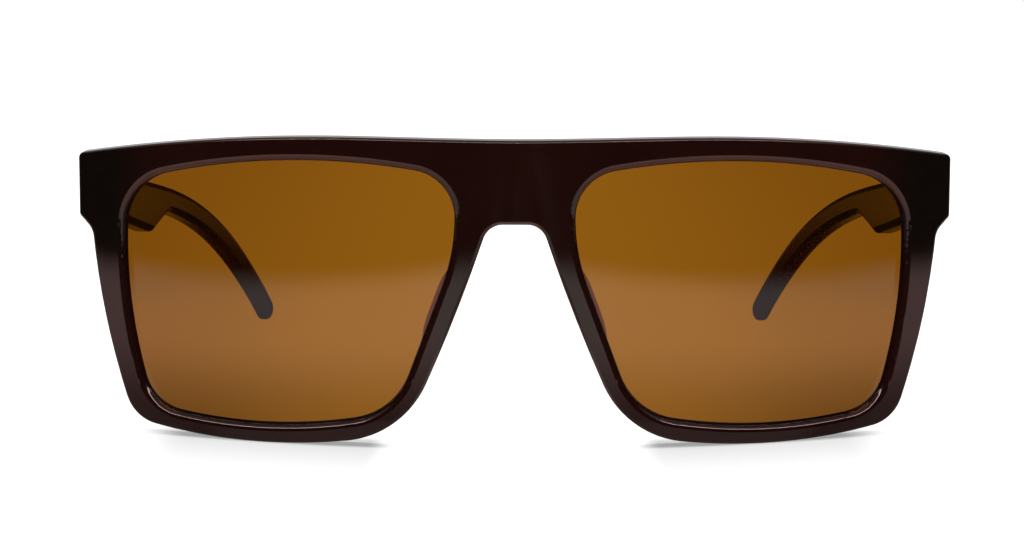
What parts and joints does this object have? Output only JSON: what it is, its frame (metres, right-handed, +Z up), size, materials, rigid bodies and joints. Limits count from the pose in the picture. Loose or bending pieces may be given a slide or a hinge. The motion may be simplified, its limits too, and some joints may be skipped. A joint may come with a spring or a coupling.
{
  "type": "flat top sunglasses",
  "caption": "Flat top sunglasses: a wrapped acetate front with cylindrical tinted lenses and bonded nose pads, and cored temples that fold on barrel hinges.",
  "frame": {"origin": "middle of the footprint of the open glasses, at the height that the rims and temple tips rest on", "axes": "+X towards the wearer's left, +Y from the front back along the temples, +Z up"},
  "size_m": [0.1456, 0.149, 0.0502],
  "materials": {
    "front_acetate": "polished",
    "temple_acetate": "polished",
    "pad_acetate": "satin",
    "sun_lens": "polished",
    "hinge_steel": "satin",
    "screw_steel": "turned",
    "core_steel": "drawn"
  },
  "bodies": {
    "front": {"frame_front": "front_acetate", "lens_left": "sun_lens", "lens_right": "sun_lens", "nose_pad_left": "pad_acetate", "nose_pad_right": "pad_acetate", "hinge_front_left": "hinge_steel", "hinge_front_right": "hinge_steel", "hinge_screw_left": "screw_steel", "hinge_screw_right": "screw_steel"},
    "left_temple": {"temple_left": "temple_acetate", "core_wire_left": "core_steel", "hinge_temple_left": "hinge_steel"},
    "right_temple": {"temple_right": "temple_acetate", "core_wire_right": "core_steel", "hinge_temple_right": "hinge_steel"}
  },
  "joints": [
    {"name": "left_fold", "type": "hinge", "parent": "front", "child": "left_temple", "pos_m": [0.06705, -0.04581, 0.03959], "axis": [0, 0, 1], "range_deg": [0, 88]},
    {"name": "right_fold", "type": "hinge", "parent": "front", "child": "right_temple", "pos_m": [-0.06705, -0.04581, 0.03959], "axis": [0, 0, -1], "range_deg": [0, 82]}
  ]
}
